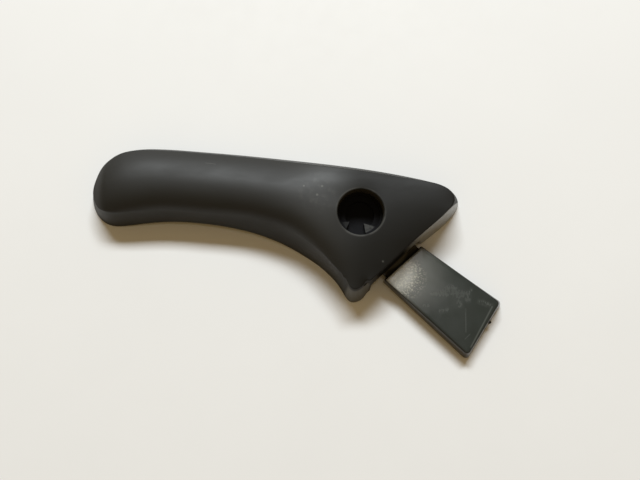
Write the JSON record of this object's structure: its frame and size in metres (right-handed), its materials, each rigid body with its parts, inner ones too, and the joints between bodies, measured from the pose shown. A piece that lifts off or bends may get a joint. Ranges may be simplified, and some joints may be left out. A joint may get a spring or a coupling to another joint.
{
  "type": "car door handle",
  "caption": "Inside release lever with a crowned grip, a deep round recess over the hub in its triangular head, and a sprung block arm that swings out of the head's slanted end.",
  "frame": {"origin": "on the hub's axis, in the plane that the handle is mounted on", "axes": "+Z out of the door along the hub's axis, -X along the grip towards its free end"},
  "size_m": [0.153, 0.078, 0.0167],
  "materials": {
    "grip_plastic": "fine matte grain, soft sheen, light wear",
    "cover_plastic": "moulded, lightly grained",
    "arm_plastic": "smooth semi-gloss with fine scratches",
    "hub_plastic": "moulded, matte",
    "plated_steel": "zinc plated",
    "spring_steel": "oiled spring wire",
    "brass": "knurled, turned",
    "bronze": "sintered",
    "washer_nylon": "natural nylon",
    "rubber": "matte"
  },
  "bodies": {
    "handle": {"grip_cover": "grip_plastic", "back_cover": "cover_plastic", "spine_plate": "plated_steel", "spine_screws": "plated_steel", "thread_inserts": "brass", "cover_screws": "plated_steel", "pivot_hub": "hub_plastic", "hub_keys": "plated_steel", "thrust_washer": "washer_nylon", "lower_washer": "plated_steel", "retaining_ring": "spring_steel", "return_spring": "spring_steel", "spring_anchor": "plated_steel", "rest_stop_pad": "rubber", "travel_stop_pad": "rubber"},
    "arm": {"arm_strap": "plated_steel", "arm_bush": "bronze", "arm_block": "arm_plastic", "arm_rivets": "plated_steel", "spring_post": "plated_steel"}
  },
  "joints": [
    {"name": "arm_swing", "type": "hinge", "parent": "handle", "child": "arm", "pos_m": [0, 0, 0], "axis": [0, 0, -1], "range_deg": [0, 12], "stiffness_Nm_per_rad": 0.4, "springref_deg": -17.19, "deforming": ["return_spring"]}
  ]
}
